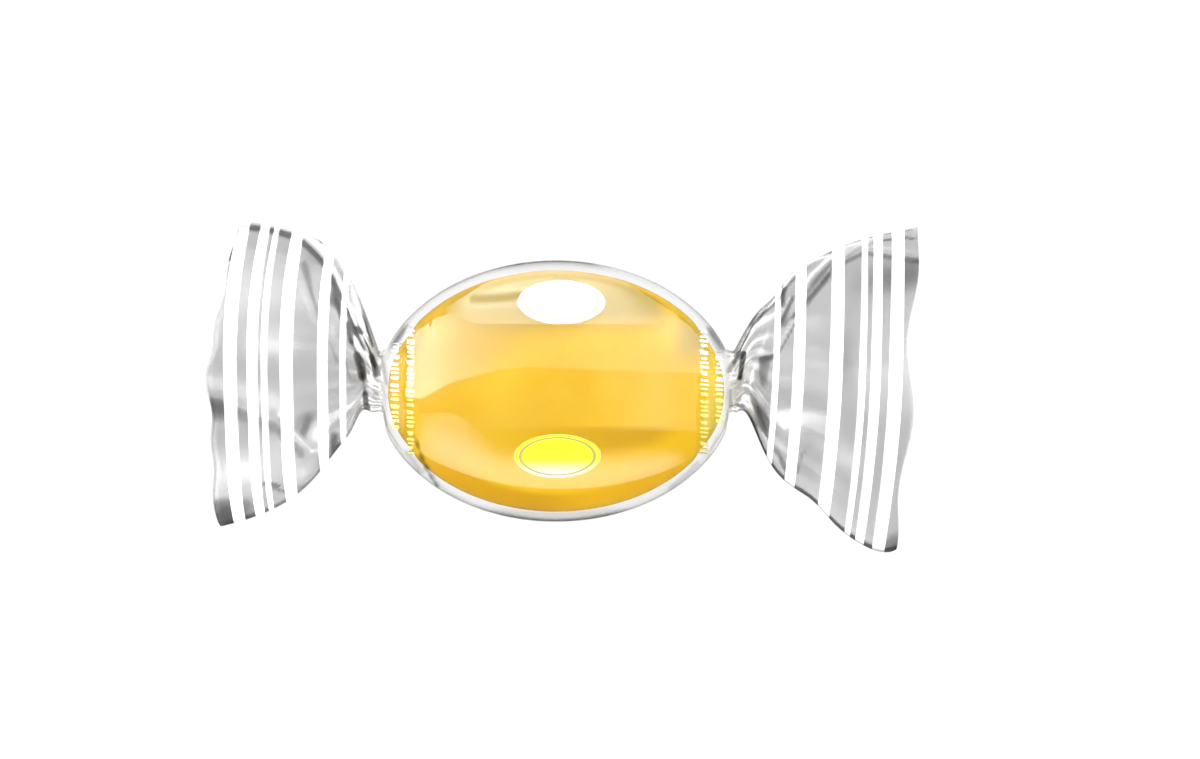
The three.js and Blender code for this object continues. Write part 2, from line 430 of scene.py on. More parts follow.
def body_surface(turn, angle):
    """Rings of the sweet's form: x = -a*cos(turn), y = b*sin(turn)*cos(angle) and z = height*sin(angle),
    each with its strands. They draw in to the twists, and lie flat on the table where z would be below 0."""
    x = -FILM[0] * np.cos(turn)
    end_x = FILM[0] * math.cos(first_turn)
    near_twist = ease(abs(x), FILM[0] - TWIST_RUN, end_x)
    lean = TWIST_OFFSET * near_twist
    stand_out = strands(angle, 0, ease(abs(x), FILM[0] - STRAND_RUN, FILM[0]))
    height = blend(FILM[2] * height_share(np.sin(turn)), TWIST_HALF_HEIGHT, near_twist)
    y = lean + (FILM[1] * np.sin(turn) + stand_out) * np.cos(angle)
    z = MIDDLE[2] + (height + stand_out) * np.sin(angle)
    return np.stack([x + 0 * y, y, np.maximum(z, 0), 0 * y], -1)


# %% Join them into one tube with a wall
AROUND = 240
FAN_RINGS = 62
BODY_RINGS = 76
RING_CROWDING = 1.25  # above 1, the rings of a fan crowd towards the twist

film_angle = np.linspace(0, 2 * np.pi, AROUND, endpoint=False)[None, :]
fan_reach = (np.linspace(0, 1, FAN_RINGS) ** RING_CROWDING)[:, None]
body_turn = np.linspace(first_turn, np.pi - first_turn, BODY_RINGS)[:, None]

sheet = np.concatenate([
    fan_surface(LEFT_FAN, fan_reach, film_angle)[::-1],
    body_surface(body_turn, film_angle),
    fan_surface(RIGHT_FAN, fan_reach, film_angle),
])
outside, tones = sheet[:, :, :3], sheet[:, :, 3]


def surface_normals(points):
    """The cross product of the step along the tube and the step round the ring, made one long."""
    round_step = np.roll(points, -1, axis=1) - np.roll(points, 1, axis=1)
    along_step = np.gradient(points, axis=0)
    normal = np.cross(round_step, along_step)
    return normal / np.linalg.norm(normal, axis=-1, keepdims=True)


normals = surface_normals(outside)
middle_ring = len(outside) // 2
outward = np.sum(normals[middle_ring] * (outside[middle_ring] - MIDDLE), axis=-1)
print("the middle ring's normals point", "out" if outward.min() > 0 else "in")
inside = outside - WALL * normals
loop = np.concatenate([outside, inside[::-1]])
film = make_piece("film_wrapper", loop, closed_grid_faces(len(loop), AROUND, True).tolist())

# %% [markdown]
# Film that was gripped and turned is creased for good. The creases are finer than the grid, so they aren't
# cut into it: each point remembers a tone, and the finish reads it. A crease is a short line of straight
# runs, seen from above, with painted shade where the film leans away from the light and painted light
# where it catches it.

# %% Creases: the points in mm, half the width, and the tone: painted shade below 0 and painted light above
CREASES = (
    # the left fan
    (((-23.85, 12.04), (-24.38, 10.95), (-24.56, 9.98)), 0.14, -1.3),
    (((-23.0, 13.2), (-22.05, 13.05), (-20.6, 12.7), (-18.85, 12.0), (-17.55, 11.1)), 0.1, -1.25),
    (((-16.72, 8.32), (-16.43, 6.97), (-16.05, 5.47)), 0.18, -1.0),
    (((-15.6, 5.0), (-15.25, 3.7)), 0.2, -1.1),
    (((-15.25, 3.7), (-14.85, 2.8)), 0.15, -0.5),
    (((-14.8, 2.6), (-14.6, 1.9), (-14.45, 1.1)), 0.26, -1.6),
    (((-14.45, 1.1), (-14.3, -0.1)), 0.14, -0.5),
    (((-14.95, 3.9), (-14.7, 3.2)), 0.2, 0.6),
    (((-15.45, 6.83), (-15.00, 5.62), (-14.62, 4.58)), 0.12, -0.7),
    (((-14.9, 4.7), (-14.5, 4.35)), 0.22, -1.4),
    (((-14.3, 3.9), (-13.85, 2.8)), 0.1, -0.8),
    (((-13.75, 2.55), (-13.6, 1.9), (-13.45, 1.3)), 0.22, -1.8),
    (((-14.15, 3.2), (-13.8, 1.6), (-13.7, 0.6)), 0.1, 0.8),
    (((-14.25, -0.22), (-14.14, -1.27)), 0.18, -1.5),
    (
        ((-17.85, 11.55), (-15.97, 9.38), (-15.3, 8.1), (-14.62, 6.6), (-14.1, 4.58), (-13.72, 3.38)),
        0.1,
        -0.7,
    ),
    (((-15.30, 7.57), (-14.47, 5.17)), 0.15, 0.7),
    (((-14.9, 3.6), (-14.6, 2.8)), 0.3, 0.4),
    (((-13.8, 1.3), (-13.9, -0.8)), 0.3, 0.4),
    (((-16.7, -3.4), (-16.6, -4.3)), 0.42, -0.9),
    (((-16.95, 3.82), (-16.35, 2.17)), 0.15, -0.3),
    (((-15.75, 2.32), (-15.22, 0.22)), 0.15, -0.3),
    (((-18.9, 9.5), (-18.3, 7.2), (-17.7, 5.5)), 0.25, -0.35),
    (((-19.2, 8.1), (-18.0, 5.0)), 0.25, 0.3),
    (((-20.77, -1.57), (-20.02, -2.77), (-18.30, -4.50)), 0.12, 0.8),
    (((-21.82, -6.83), (-20.62, -7.12)), 0.14, -0.9),
    (((-18.9, -3.1), (-18.6, -4.0)), 0.5, -0.7),
    (((-13.2, 2.9), (-12.9, 1.9), (-12.6, 0.5)), 0.2, -0.4),
    # the ends of the body
    (((-11.2, 4.9), (-12.2, 3.4)), 0.25, -0.5),
    (((-11.5, 4.4), (-11.9, 3.7)), 0.3, -0.35),
    (((-10.50, -3.34), (-9.97, -5.02), (-9.41, -6.26), (-8.85, -7.18)), 0.12, -0.8),
    (((-11.1, -4.6), (-10.1, -6.0)), 0.25, -0.4),
    (((-13.0, -1.3), (-12.5, -3.3), (-11.2, -5.3), (-10.2, -6.3)), 0.2, -0.25),
    (((-9.07, 6.15), (-9.41, 4.72)), 0.15, -0.4),
    (((11.5, 4.7), (12.5, 3.3), (13.5, 2.9)), 0.25, -0.5),
    (((11.6, 4.3), (12.2, 3.0)), 0.35, -0.4),
    (((12.9, 1.5), (13.6, 2.7)), 0.2, -0.6),
    (((13.05, 0.00), (13.05, -1.09)), 0.18, -0.5),
    (((10.6, -5.4), (9.4, -6.6), (8.5, -7.3)), 0.3, -0.35),
    (((11.30, -5.17), (12.05, -3.34)), 0.12, -0.3),
    # along the body's rims, and two soft ones over the sweet, all painted shade and light
    (((3.1, 9.6), (6.0, 8.8), (8.8, 7.2), (10.6, 5.5)), 0.3, 0.5),
    (((-10.3, -4.9), (-8.2, -7.6), (-5.4, -9.0)), 0.3, -0.25),
    (((-8.8, 7.5), (-5.4, 8.9), (-2.5, 9.6)), 0.22, -0.25),
    (((-6.1, 6.85), (-4.2, 6.95), (-2.6, 7.1)), 0.7, -0.31),
    (((0.2, -3.3), (3.5, -3.4), (6.8, -3.6)), 0.7, -0.12),
    # the right fan
    (((20.55, 10.43), (21.7, 11.0), (23.55, 11.55), (26.95, 12.15)), 0.1, -0.9),
    (((21.7, 10.0), (22.8, 10.75), (24.3, 11.25), (26.2, 11.5), (26.95, 11.35)), 0.1, -0.7),
    (((14.03, 2.77), (13.91, 1.95), (13.76, 0.97)), 0.14, -2.4),
    (((13.50, -1.05), (13.95, -1.12)), 0.15, -0.6),
    (((14.55, 4.95), (15.07, 6.00), (15.75, 6.67), (16.43, 7.12)), 0.12, -0.8),
    (((14.92, 4.72), (15.45, 5.77), (16.05, 6.67)), 0.12, -0.6),
    (((17.0, 7.6), (16.9, 6.5)), 0.22, -1.2),
    (((18.52, 6.83), (17.77, 5.47)), 0.12, -1.3),
    (((17.8, 7.1), (16.85, 5.1)), 0.14, -0.8),
    (((20.7, 9.7), (19.5, 8.2), (18.6, 7.0)), 0.24, -1.0),
    (((20.4, 8.6), (19.2, 7.0), (18.6, 5.8)), 0.25, -0.4),
    (((20.7, 10.1), (19.2, 8.8), (18.6, 7.9)), 0.2, 0.9),
    (((19.20, 10.12), (19.95, 10.31), (20.70, 10.42)), 0.15, -1.2),
    (((15.8, 2.9), (15.6, 1.9), (15.3, 0.4)), 0.45, -0.5),
    (((15.7, -1.2), (15.3, -2.3)), 0.8, -0.8),
    (((15.5, -2.8), (16.0, -3.7), (16.3, -4.6)), 0.2, -0.6),
    (((16.6, -4.4), (17.0, -5.5), (17.6, -6.5)), 0.22, -0.7),
    (((15.07, 2.48), (14.55, 0.67), (14.17, -0.82)), 0.12, 0.6),
    (((15.90, 4.58), (15.30, 2.92)), 0.15, 0.5),
    (((18.1, -6.1), (18.3, -4.9), (19.2, -3.8)), 0.2, -0.4),
    (((17.1, -2.8), (16.9, -4.4)), 0.45, 0.4),
)


def crease_tones(x, y):
    """The sum of tone*exp(-(d/width)^2) over the creases, where d is the distance to the crease's line."""
    total = 0
    for corners, width, tone in CREASES:
        distance = np.inf
        for (x0, y0), (x1, y1) in zip(corners, corners[1:]):
            run_x, run_y = x1 - x0, y1 - y0
            along = np.clip(((x - x0) * run_x + (y - y0) * run_y) / (run_x**2 + run_y**2), 0, 1)
            distance = np.minimum(distance, np.hypot(x - x0 - along * run_x, y - y0 - along * run_y))
        total = total + tone * np.exp(-((distance / width) ** 2))
    return total


TOP_EDGE = 0.05  # half the band, in height over width, where the top passes into the underside
on_top = ease(np.sin(film_angle), -TOP_EDGE, TOP_EDGE)
tones = tones + crease_tones(outside[:, :, 0], outside[:, :, 1]) * on_top
print("film tones from", tones.min().round(2), "to", tones.max().round(2))

# %% Remember the tone, the painted shade and light, at each point of the film
both_sides = np.concatenate([tones, tones[::-1]]).ravel()
film.data.attributes.new("tone", "FLOAT", "POINT").data.foreach_set("value", both_sides)
print("tones kept at", both_sides.size, "points")


# %% [markdown]
# ## Materials as expressions
#
# A material is a graph of nodes. Written as plain Python sums it is much easier to read, so a small
# class stands for a node's output, and each operator on it adds one Math node.


# %% Shader maths
class Output:
    """One output of a node. Sums and products with it add Math nodes to the same material."""

    def __init__(self, finish, socket):
        self.finish = finish
        self.socket = socket

    def maths(self, operation, *values):
        """Any other Math node on these values."""
        return self.finish.node("ShaderNodeMath", {"operation": operation}, dict(enumerate(values)))

    def __add__(self, other):
        return self.maths("ADD", self, other)

    def __sub__(self, other):
        return self.maths("SUBTRACT", self, other)

    def __rsub__(self, other):
        return self.maths("SUBTRACT", other, self)

    def __mul__(self, other):
        return self.maths("MULTIPLY", self, other)

    def __truediv__(self, other):
        return self.maths("DIVIDE", self, other)

    def __pow__(self, other):
        return self.maths("POWER", self, other)

    def __abs__(self):
        return self.maths("ABSOLUTE", self)

    __radd__ = __add__
    __rmul__ = __mul__

    def ease(self, start, end):
        """0 at start and 1 at end, with a smooth turn between; start may be the larger."""
        values = {"Value": self, "From Min": start, "From Max": end, "To Min": 0.0, "To Max": 1.0}
        return self.finish.node("ShaderNodeMapRange", {"interpolation_type": "SMOOTHSTEP"}, values)

    def either(self, other):
        """The larger of the two."""
        return self.maths("MAXIMUM", self, other)

    def sine(self):
        """The sine of this many radians."""
        return self.maths("SINE", self)


class Finish:
    """A new material and its nodes."""

    def __init__(self, name):
        self.material = bpy.data.materials.new(name)
        self.material.use_nodes = True
        self.tree = self.material.node_tree
        self.tree.nodes.clear()

    def node(self, kind, settings=None, inputs=None, output=0):
        """Adds any node: its type, its settings, and the values or links of its inputs."""
        made = self.tree.nodes.new(kind)
        for name, value in (settings or {}).items():
            setattr(made, name, value)
        for name, value in (inputs or {}).items():
            if isinstance(value, Output):
                self.tree.links.new(value.socket, made.inputs[name])
            else:
                made.inputs[name].default_value = value
        return Output(self, made.outputs[output]) if made.outputs else made

    def place(self):
        """Object coordinates in millimetres, as x, y and z."""
        where = self.node("ShaderNodeTexCoord", output="Object")
        in_mm = self.node("ShaderNodeVectorMath", {"operation": "SCALE"}, {0: where, "Scale": 1 / MM})
        parts = self.node("ShaderNodeSeparateXYZ", inputs={0: in_mm}).socket.node
        return in_mm, [Output(self, socket) for socket in parts.outputs]

    def mix(self, share, a, b):
        """Colour a where share is 0 and colour b where it is 1."""
        settings = {"data_type": "RGBA"}
        return self.node("ShaderNodeMix", settings, {0: share, 6: a, 7: b}, output=2)

    def noise(self, where, scale, detail):
        """Soft noise, with scale spots for each mm."""
        values = {"Vector": where, "Scale": scale, "Detail": detail}
        return self.node("ShaderNodeTexNoise", inputs=values)

    def surface(self, shader, piece):
        """Ends the material with this shader and puts it on the piece."""
        self.node("ShaderNodeOutputMaterial", inputs={"Surface": shader})
        piece.data.materials.append(self.material)


# %% [markdown]
# ## Boiled sugar
#
# Boiled sugar is a clear amber glass with a little haze in it. Light goes in and comes out some
# way off, so its colour is deep where it is thick or turned away and pale where light leaves it. A volume
# of haze would do this truly, and slowly. A Principled shader with subsurface light does it in a few
# samples, with the deep and the pale places painted as soft masks over one amber: painted shade where it
# is thick or turned away, and painted light where light leaves it.

# %% The colours of the sugar
AMBER = (0.495, 0.298, 0.006, 1)  # most of it
HONEY = (0.54, 0.345, 0.016, 1)  # its haze
# painted light: paler towards the near right, where light leaves the sugar
NEAR_RIGHT_LIGHT = (0.67, 0.41, 0.007, 1)  # towards the near right, where light leaves it
# painted shade: darker towards the far left
FAR_LEFT_SHADE = (0.37, 0.225, 0.014, 1)  # towards the far left
# painted shade: deeper past the shoulders, the left end darker than the right
LEFT_CAP_SHADE = (0.4, 0.25, 0.004, 1)  # past the shoulders
RIGHT_CAP = (0.54, 0.39, 0.004, 1)
# painted light along the near rim: deeper in colour at the left, a brighter glow at the right
RIM_DEEP = (0.5, 0.27, 0.001, 1)  # the near rim, at the left
RIM_GLOW = (0.63, 0.355, 0.002, 1)  # and at the right
# painted shade on the far side, under the far band's reflection
SHADED = (0.24, 0.168, 0.012, 1)  # the far side
DEEP_STRIP = (0.47, 0.27, 0.003, 1)  # a band over the near half

# %% Where each colour lies, in mm from the middle
SLANT = 0.5  # the light comes slantwise, from the near right
HAZE_SCALE = 0.16  # spots for each mm
SHADE_WEIGHT = 0.8  # how far the two far corners are shaded
STRIP_WEIGHT = 0.75
STRIP_BEND = 0.02  # how the strip's near edge curves with the outline

sugar = Finish("boiled_sugar")
where, (x, y, z) = sugar.place()
haze = sugar.noise(where, HAZE_SCALE, 3.0).ease(0.35, 0.7)
# where the painted light towards the near right lies
near_right_light = (SLANT * x - y).ease(0.0, 8.0)
# where the painted shade towards the far left lies
far_left_shade = (y - SLANT * x).ease(2.5, 7.0)
# where the painted shade past the shoulders lies
past_shoulder = abs(x).ease(10.0, 11.6)

from_rim = x * x * (1 / SWEET[0] ** 2) + y * y * (1 / SWEET[1] ** 2)  # 1 at the outline
# where the painted light along the near rim lies
near_rim = from_rim.ease(0.67, 0.77) * y.ease(-4.5, -6.5)
# where the painted shade of the far side lies: the far band and the two far corners
far_band = y.ease(3.6, 6.2) * abs(x).ease(9.5, 7.0)
right_corner = x.ease(8.3, 9.8) * y.ease(1.0, 4.0) * SHADE_WEIGHT
left_corner = x.ease(-9.3, -10.3) * y.ease(1.5, 3.5) * SHADE_WEIGHT
far_side_shade = far_band.either(right_corner).either(left_corner) * from_rim.ease(0.99, 0.9)

strip_edges = y.ease(-2.5, -2.75) * (y - STRIP_BEND * x * x).ease(-5.6, -4.2)
strip = strip_edges * x.ease(-6.5, 4.0) * x.ease(9.8, 7.0) * STRIP_WEIGHT

# %% Lay the colours over each other
# the sugar's own amber and haze, with painted light and shade laid over them
tone = sugar.mix(haze, AMBER, HONEY)
tone = sugar.mix(near_right_light, tone, NEAR_RIGHT_LIGHT)
tone = sugar.mix(far_left_shade, tone, FAR_LEFT_SHADE)
tone = sugar.mix(past_shoulder, tone, sugar.mix(x.ease(-1.0, 1.0), LEFT_CAP_SHADE, RIGHT_CAP))
tone = sugar.mix(near_rim, tone, sugar.mix(x.ease(-2.0, 3.0), RIM_DEEP, RIM_GLOW))
tone = sugar.mix(far_side_shade, tone, SHADED)
tone = sugar.mix(strip, tone, DEEP_STRIP)

# %% The sweet's finish
SWIRL_SCALE = 0.9  # spots for each mm
SCATTER = (1.0, 0.5, 0.08)  # red light goes furthest through the sugar
SCATTER_LENGTH = 0.003  # metres

swirl = sugar.noise(where, SWIRL_SCALE, 2.0)
bump = sugar.node("ShaderNodeBump", inputs={"Strength": 0.12, "Distance": 0.0002, "Height": swirl})
sugar.surface(
    sugar.node(
        "ShaderNodeBsdfPrincipled",
        {"subsurface_method": "RANDOM_WALK"},
        {
            "Base Color": tone,
            "Roughness": 0.2,
            "IOR": 1.52,
            "Specular IOR Level": 0.15,
            "Normal": bump,
            "Subsurface Weight": 0.8,
            "Subsurface Radius": SCATTER,
            "Subsurface Scale": SCATTER_LENGTH,
        },
    ),
    sweet,
)
print("boiled_sugar:", len(sugar.tree.nodes), "nodes")

# %% [markdown]
# ## The printed film
#
# The film is clear over the sweet, where one layer lies between the eye and the sugar, and greyer in
# the gathered twists and the fans. White ink covers it in stripes that run across the fans. Glass would
# need many bounces through its four walls. Film this thin doesn't bend light, so it is a mirror that is
# mostly see-through: its alpha says how much it reflects, and the ink makes it solid.

# %% Stripes: where each one lies, and how wide it is
LEFT_STRIPES = ((-24.4, 0.86), (-22.75, 0.68), (-21.85, 0.36), (-20.2, 0.86), (-17.5, 0.68), (-15.98, 0.36))
RIGHT_STRIPES = ((25.4, 0.9), (23.9, 0.64), (22.9, 0.4), (20.9, 0.9), (18.1, 0.75), (16.4, 0.38))
INK_EDGE = 0.05  # over which the ink fades out


def stripes(place, stripe_list):
    """1 within half a width of any stripe's middle line."""
    masks = [abs(place - middle).ease(width / 2 + INK_EDGE, width / 2) for middle, width in stripe_list]
    total = masks[0]
    for mask in masks[1:]:
        total = total.either(mask)
    return total


# %% Ovals round the tube, and columns of strokes at its ends
OVAL_X = 0.27
OVAL_LEAN = 0.025  # how far the ovals shift along X for each mm across the film
OVAL_HALF_LENGTH = 3.2
OVALS = ((math.radians(44), 2.05), (math.radians(-30), 1.7))  # turn from the top to +Y, and half width
HALF_TURN = math.pi  # after which both come again
SECTION_RADIUS = 8.9  # mean length of film for one radian round the tube
STROKE_COLUMNS = (  # middle and half width along X, and from where to where across the film
    (-11.97, 0.38, -2.9, 3.6),
    (-10.8, 0.36, -4.7, 4.8),
    (11.05, 0.4, -4.7, 4.6),
    (12.2, 0.38, -2.6, 2.9),
)
STROKE_PITCH = 0.4
STROKE_SLANT = 1.5  # radians for each mm along X
STROKE_JITTER = 1.6  # radians by which the strokes wander from an even pitch
STROKE_LENGTH, STROKE_UNEVEN = 0.8, 0.12  # mean length as a share of the column, and how much it varies
STROKE_EDGE, STROKE_END = 0.1, 0.08  # softness of a column's edge and of a stroke's end


def ovals(x, y, z):
    """How far each point is from the nearest oval's middle, as a share of its half size: 1 on its edge.
    Each is sqrt(across^2 + along^2), where across is measured round the tube."""
    turn = y.maths("ARCTAN2", y / FILM[1], (z - MIDDLE[2]) / FILM[2])
    along = (x - y * OVAL_LEAN - OVAL_X) / OVAL_HALF_LENGTH
    distances = []
    for oval_turn, half_width in OVALS:
        turned = turn.maths("WRAP", turn - oval_turn, HALF_TURN / 2, -HALF_TURN / 2)
        across = turned * (SECTION_RADIUS / half_width)
        distances.append((across * across + along * along) ** 0.5)
    return turn.maths("MINIMUM", *distances)


def strokes(x, y):
    """1 where sin(2*pi*y/pitch + jitter + slant) is high, in columns across the film. Two slow waves make
    the strokes longer and shorter."""
    total = 0.0
    for middle, half_width, start, end in STROKE_COLUMNS:
        slow, fast = (y * 5.3 + middle).sine(), (y * 11.9 + middle * 3.0).sine()
        length = slow * STROKE_UNEVEN + fast * STROKE_UNEVEN + STROKE_LENGTH
        from_middle = abs(x - middle)
        in_column = from_middle.ease(half_width, half_width - STROKE_EDGE)
        in_stroke = (from_middle / length).ease(half_width, half_width - STROKE_END)
        in_rows = y.ease(start - INK_EDGE, start + INK_EDGE) * y.ease(end + INK_EDGE, end - INK_EDGE)
        jitter = (y * 3.7 + middle).sine() * STROKE_JITTER
        wave = (y * (2 * math.pi / STROKE_PITCH) + jitter + (x - middle) * STROKE_SLANT).sine()
        total = in_column * in_stroke * in_rows * wave.ease(-0.25, 0.35) + total
    return total


# %% Where the ink lies
BOW = 0.9  # how far the left stripes bow out at BOW_REACH from BOW_MIDDLE
BOW_MIDDLE, BOW_REACH = 0.8, 11.3
LEAN, BEND = 0.06, 0.0034  # of the right stripes
RING_AT = 0.86  # share of the oval's size at which its thin ring lies
STROKE_WEIGHT = 0.75

film_finish = Finish("clear_film")
where, (x, y, z) = film_finish.place()
left_line = x - BOW * abs((y - BOW_MIDDLE) / BOW_REACH) ** 3
right_line = x - LEAN * y + BEND * y * y
stripe = stripes(left_line, LEFT_STRIPES).either(stripes(right_line, RIGHT_STRIPES))
on_body = abs(x).ease(13.0, 12.6)
from_oval = ovals(x, y, z)
oval = from_oval.ease(1.02, 0.98) * on_body
ring = abs(from_oval - RING_AT).ease(0.06, 0.025) * oval
stroke = strokes(x, y)
ink = stripe.either(oval).either(stroke * STROKE_WEIGHT)

# %% The painted shade and light of the folds and creases, and the parts of the tube
tone_at = film_finish.node("ShaderNodeAttribute", {"attribute_name": "tone"}, output="Fac")
# darkness, dark and deep carry the painted shade, and pale the painted light
darkness = 0 - tone_at
dark, deep, pale = darkness.ease(0.0, 1.0), darkness.ease(1.0, 2.0), tone_at.ease(0.0, 1.0)
on_fan = abs(x).ease(12.6, 14.2)
at_twist = abs(x).ease(12.6, 13.4) * abs(x).ease(17.0, 13.8)

# %% How much the film reflects
CLEAR_ALPHA = 0.035
FAN_ALPHA, TWIST_ALPHA = 0.175, 0.1  # more in the fans and the twists
# the painted shade and light also raise how much the film reflects
DARK_ALPHA, DEEP_ALPHA, PALE_ALPHA = 0.4, 0.25, 0.12  # and in the tones
INK_ALPHA = 0.97
ALL_RIMS, NEAR_RIM, FAR_RIM = (0.45, 8), (0.4, 3), (0.35, 5)  # the most it adds, and how late it comes in
PALE_RIM = 0.3  # what a pale tone leaves of that

facing = film_finish.node("ShaderNodeLayerWeight", inputs={"Blend": 0.5}, output="Facing")
near_rim = y.ease(-8.4, -9.3) * abs(x).ease(7.5, 3.0)
far_rim = y.ease(8.4, 9.3) * abs(x).ease(5.5, 2.0)
rim_alpha = ALL_RIMS[0] * facing ** ALL_RIMS[1] + NEAR_RIM[0] * near_rim * facing ** NEAR_RIM[1]
rim_alpha = rim_alpha + FAR_RIM[0] * far_rim * facing ** FAR_RIM[1]
film_alpha = CLEAR_ALPHA + FAN_ALPHA * on_fan + TWIST_ALPHA * at_twist
film_alpha = film_alpha + DARK_ALPHA * dark + DEEP_ALPHA * deep + PALE_ALPHA * pale
film_alpha = film_alpha + rim_alpha * (1 - (1 - PALE_RIM) * pale)
alpha = film_alpha + ink * (INK_ALPHA - film_alpha)

# %% What colour the film and its ink are
CLEAR = (0.72, 0.73, 0.74, 1)
FAN_GREY = (0.2, 0.2, 0.202, 1)
TWIST_GREY = (0.5, 0.5, 0.505, 1)
# painted shade and painted light of the folds and creases
PAINTED_FOLD_SHADE = (0.05, 0.05, 0.05, 1)
PAINTED_FOLD_LIGHT = (0.8, 0.8, 0.8, 1)
WHITE_INK = (0.96, 0.96, 0.96, 1)
YELLOW_INK = (0.98, 0.95, 0.03, 1)
PALE_INK = (0.98, 0.97, 0.6, 1)
STROKE_YELLOW = (1.0, 0.87, 0.1, 1)
RING_INK = (0.3, 0.24, 0.12, 1)
# painted shade over the ink, where the film's painted shade is deepest
INK_IN_PAINTED_SHADE = (0.3, 0.3, 0.3, 1)
RING_WEIGHT = 0.85

film_tone = film_finish.mix(on_fan, CLEAR, FAN_GREY)
film_tone = film_finish.mix(at_twist, film_tone, TWIST_GREY)
# painted shade where the tone is below 0, painted light where it is above
film_tone = film_finish.mix(dark.ease(0.0, 0.25), film_tone, PAINTED_FOLD_SHADE)
film_tone = film_finish.mix(pale, film_tone, PAINTED_FOLD_LIGHT)
yellow = film_finish.mix(y.ease(-5.0, -6.3), YELLOW_INK, PALE_INK)
ink_tone = film_finish.mix(y.ease(0.5, -0.5) * on_body, WHITE_INK, yellow)
ink_tone = film_finish.mix(stroke * y.ease(1.0, -2.5), ink_tone, STROKE_YELLOW)
ink_tone = film_finish.mix(RING_WEIGHT * ring, ink_tone, RING_INK)
# painted shade over the ink where the tone is darkest
ink_tone = film_finish.mix(darkness.ease(0.35, 1.3), ink_tone, INK_IN_PAINTED_SHADE)

# %% The film's finish
GLOSSY = 0.07  # roughness on the body
FAN_ROUGH, TWIST_GLOSS = 0.28, 0.2  # more on the fans, and less at the twists

film_finish.surface(
    film_finish.node(
        "ShaderNodeBsdfPrincipled",
        {},
        {
            "Base Color": film_finish.mix(ink, film_tone, ink_tone),
            "Alpha": alpha,
            "Metallic": 0.95 * (1 - ink) * (1 - pale),
            "Roughness": GLOSSY + FAN_ROUGH * on_fan - TWIST_GLOSS * at_twist,
            "IOR": 1.5,
            "Specular Tint": (0.35, 0.35, 0.35, 1),
        },
    ),
    film,
)
print("clear_film:", len(film_finish.tree.nodes), "nodes")

# %% Keep the film from darkening the sweet below it
film.visible_shadow = False
film.visible_diffuse = False

# %% Put the pieces in the frame
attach(sweet, "root")
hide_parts("candy")
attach(film, "root")
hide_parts("wrapper")

# %% [markdown]
# ## Table and light
#
# The photograph is on pure white, so the table glows a little. The pale bands on the sweet are the
# reflections of soft lights. Lamps could be moved until their reflections fit, but a band's shape already
# says where its light stands: at each point of the band, the surface mirrors the view from above in one
# direction, and the light lies that way. So each light here is a panel worked out from its band.

# %% The white table
TABLE_HALF = 2000  # half its width
TABLE_DROP = 0.05  # just clear of the film's flat
TABLE_GLOW = 0.9

table_corners = np.array([(-1, -1), (1, -1), (1, 1), (-1, 1)]) * TABLE_HALF
table = make_piece("table", np.insert(table_corners, 2, 0, axis=1) - (0, 0, TABLE_DROP), [(0, 1, 2, 3)])
paper = Finish("white_table")
paper.surface(
    paper.node(
        "ShaderNodeBsdfPrincipled",
        {},
        {
            "Base Color": (0.1, 0.1, 0.1, 1),
            "Roughness": 0.9,
            "Specular IOR Level": 0.0,
            "Emission Color": (1, 1, 1, 1),
            "Emission Strength": TABLE_GLOW,
        },
    ),
    table,
)
table.visible_glossy = False


# %% Where the film mirrors the view from above
LIGHT_DISTANCE = 500
TINY = 0.001  # step over which a slope is measured


def film_height(x, y):
    """The height of the film's top over its middle: c*height(w)*sqrt(1 - (y/(b*w))^2), where w is
    sqrt(1 - (x/a)^2)."""
    w = np.sqrt(1 - (x / FILM[0]) ** 2)
    return FILM[2] * height_share(w) * np.sqrt(np.clip(1 - (y / (FILM[1] * w)) ** 2, 0, None))


def mirrored(x, y):
    """The direction (2p, 2q, 1 - p^2 - q^2), made one long, where p and q are the slopes along X and Y."""
    p = (film_height(x - TINY, y) - film_height(x + TINY, y)) / (2 * TINY)
    q = (film_height(x, y - TINY) - film_height(x, y + TINY)) / (2 * TINY)
    direction = np.stack([2 * p, 2 * q, 1 - p * p - q * q], -1)
    return direction / np.linalg.norm(direction, axis=-1, keepdims=True)


# %% A panel of light for each band
PANEL_STEPS = (24, 7)  # points along a band and across it


def light_panel(name, ends, near, far, radiance):
    """A panel that mirrors the band between the lines y = near(x) and y = far(x), from ends[0] to
    ends[1] along X: its points are middle + distance*mirrored(x, near + (far - near)*v). radiance(x, v)
    is its brightness, where v goes from 0 at near to 1 at far."""
    x = np.linspace(*ends, PANEL_STEPS[0])[:, None]
    v = np.linspace(0, 1, PANEL_STEPS[1])[None, :]
    y = blend(near(x), far(x), v)
    x = x + 0 * y
    points = MIDDLE + LIGHT_DISTANCE * mirrored(x, y)
    faces = closed_grid_faces(PANEL_STEPS[0], PANEL_STEPS[1], False)
    faces = faces[faces[:, 1] > faces[:, 0]]  # leaves the sheet open
    panel = make_piece(name, points, faces.tolist())
    glow_at = (radiance(x, v) + 0 * y).ravel()
    panel.data.attributes.new("glow", "FLOAT", "POINT").data.foreach_set("value", glow_at)
    glow = Finish(name)
    strength = glow.node("ShaderNodeAttribute", {"attribute_name": "glow"}, output="Fac")
    glow.surface(glow.node("ShaderNodeEmission", inputs={"Color": strength}), panel)
    panel.visible_camera = False


# %% Lines and brightnesses along the sweet
def rim(share):
    """The line y = share*b*w, which follows the outline, where w is sqrt(1 - (x/a)^2)."""
    return lambda x: share * FILM[1] * np.sqrt(1 - (x / FILM[0]) ** 2)


def through(*knots):
    """The curve through the knots (x, value), straight between them."""
    places, values = zip(*knots)
    return lambda x: np.interp(x, places, values)


